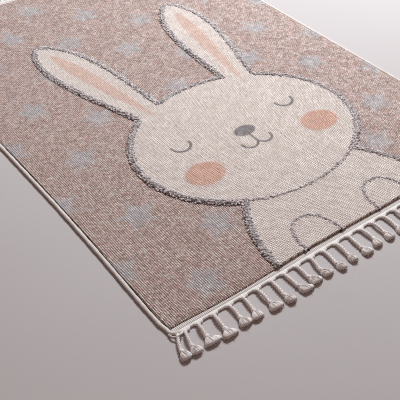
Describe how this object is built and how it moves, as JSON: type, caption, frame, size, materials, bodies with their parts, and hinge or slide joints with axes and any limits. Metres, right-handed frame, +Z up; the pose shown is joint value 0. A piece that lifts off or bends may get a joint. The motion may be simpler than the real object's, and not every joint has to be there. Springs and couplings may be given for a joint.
{
  "type": "kids rug with a rabbit motif and tasselled ends",
  "caption": "Flat woven kids rug with a raised rabbit motif, whipped sides and knotted tassels along both end tapes.",
  "frame": {"origin": "middle of the underside of the whole rug, on the floor", "axes": "+Z up out of the pile, +Y along the length towards the rabbit's ears, +X across the width to the right of the rabbit as seen from the hem"},
  "size_m": [1.2338, 1.8676, 0.0177],
  "materials": {
    "woven_pile": "melange taupe ground pile with pale blue-grey stars, higher cream pile with peach patches, shaggy marled grey outline",
    "cream_whipping": "cream yarn wrapped closely round the edge",
    "cream_tape": "matt cream cotton, ribbed tape with two-ply twisted cords and soft cut brushes"
  },
  "bodies": {
    "root": {"woven_rug": "woven_pile", "left_whipped_edge": "cream_whipping", "right_whipped_edge": "cream_whipping", "near_tasselled_tape": "cream_tape", "far_tasselled_tape": "cream_tape"}
  },
  "joints": []
}
